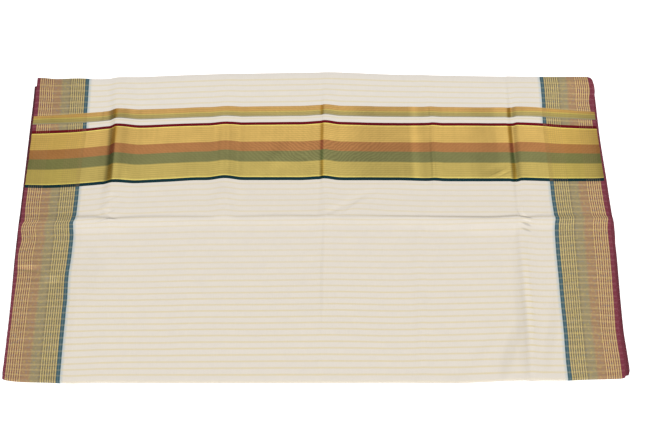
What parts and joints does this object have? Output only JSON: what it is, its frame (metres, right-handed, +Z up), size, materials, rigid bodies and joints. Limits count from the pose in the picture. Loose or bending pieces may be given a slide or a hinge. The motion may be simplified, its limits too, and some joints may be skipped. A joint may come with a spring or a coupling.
{
  "type": "cotton saree",
  "caption": "Ivory cotton saree folded in half repeatedly and laid flat, with checked selvedge borders and gold, copper and green cross bands on the end panel.",
  "frame": {"origin": "bottom centre of the folded stack, on the surface that it lies on", "axes": "+X across the cloth from the left selvedge to the right one, +Y away from the near fold, +Z up"},
  "size_m": [1.1898, 0.7052, 0.0196],
  "materials": {
    "ivory_cotton": "matte plain-weave cotton with metallic-thread stripes",
    "selvedge_cotton": "matte maroon selvedge",
    "dark_selvedge_cotton": "matte dark maroon selvedge",
    "hidden_cotton": "matte plain-weave cotton"
  },
  "bodies": {
    "root": {"outer_stretch": "ivory_cotton", "second_stretch": "selvedge_cotton", "third_stretch": "dark_selvedge_cotton", "inner_layers": "hidden_cotton"}
  },
  "joints": []
}
